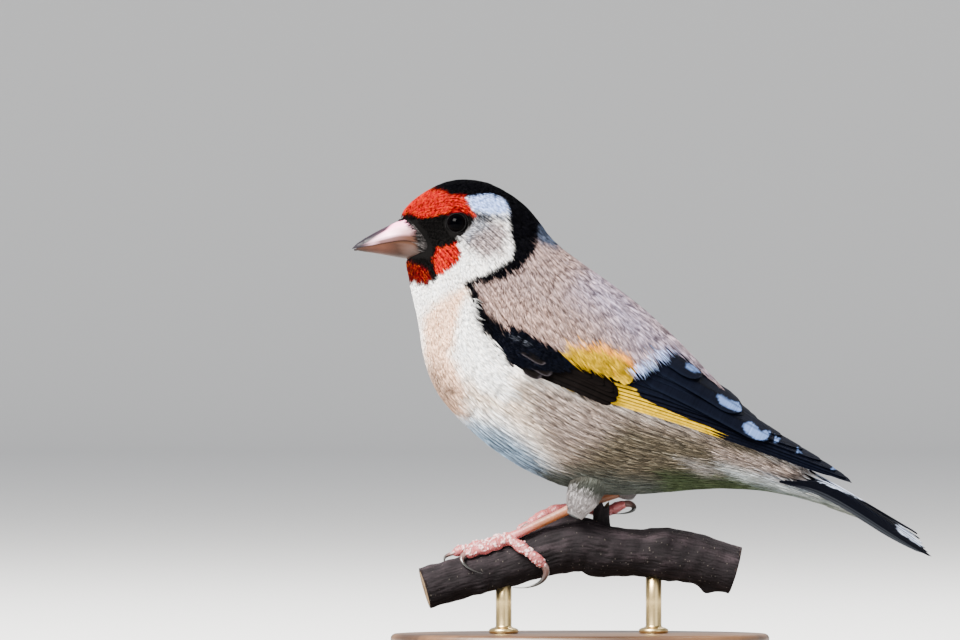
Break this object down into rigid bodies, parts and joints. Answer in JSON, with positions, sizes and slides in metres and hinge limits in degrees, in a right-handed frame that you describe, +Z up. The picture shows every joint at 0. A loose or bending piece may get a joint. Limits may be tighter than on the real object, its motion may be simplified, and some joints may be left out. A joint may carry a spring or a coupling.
{
  "type": "european goldfinch on a perch",
  "caption": "Life-size goldfinch with folded wings and a straight tail, gripping a short cut branch that rods hold above an oval display base.",
  "frame": {"origin": "centre of the display base's underside, which stands on the floor", "axes": "+Z up; the bird faces -X, its tail points to +X, and its left side faces -Y"},
  "size_m": [0.1102, 0.054, 0.0922],
  "materials": {
    "face_plumage": "short dense feathers, dull",
    "pale_plumage": "soft feathers, dull",
    "brown_plumage": "soft feathers, dull",
    "flight_feathers": "stiff feathers, satin",
    "bill": "horn, satin",
    "eye": "polished",
    "leg_skin": "scaly, dull",
    "claw": "horn, satin",
    "bark": "rough bark",
    "base_wood": "waxed, satin",
    "rod_metal": "brushed"
  },
  "bodies": {
    "root": {"head": "face_plumage", "neck": "pale_plumage", "torso": "brown_plumage", "bill_upper": "bill", "bill_lower": "bill", "eye_left": "eye", "eye_right": "eye", "wing_left": "flight_feathers", "wing_right": "flight_feathers", "tail": "flight_feathers", "thigh_left": "pale_plumage", "thigh_right": "pale_plumage", "leg_left": "leg_skin", "leg_right": "leg_skin", "foot_left": "leg_skin", "foot_right": "leg_skin", "claw_left_middle": "claw", "claw_left_outer": "claw", "claw_left_inner": "claw", "claw_left_hind": "claw", "claw_right_middle": "claw", "claw_right_outer": "claw", "claw_right_inner": "claw", "claw_right_hind": "claw", "perch": "bark", "stand_base": "base_wood", "stand_rod_front": "rod_metal", "stand_rod_back": "rod_metal"}
  },
  "joints": []
}
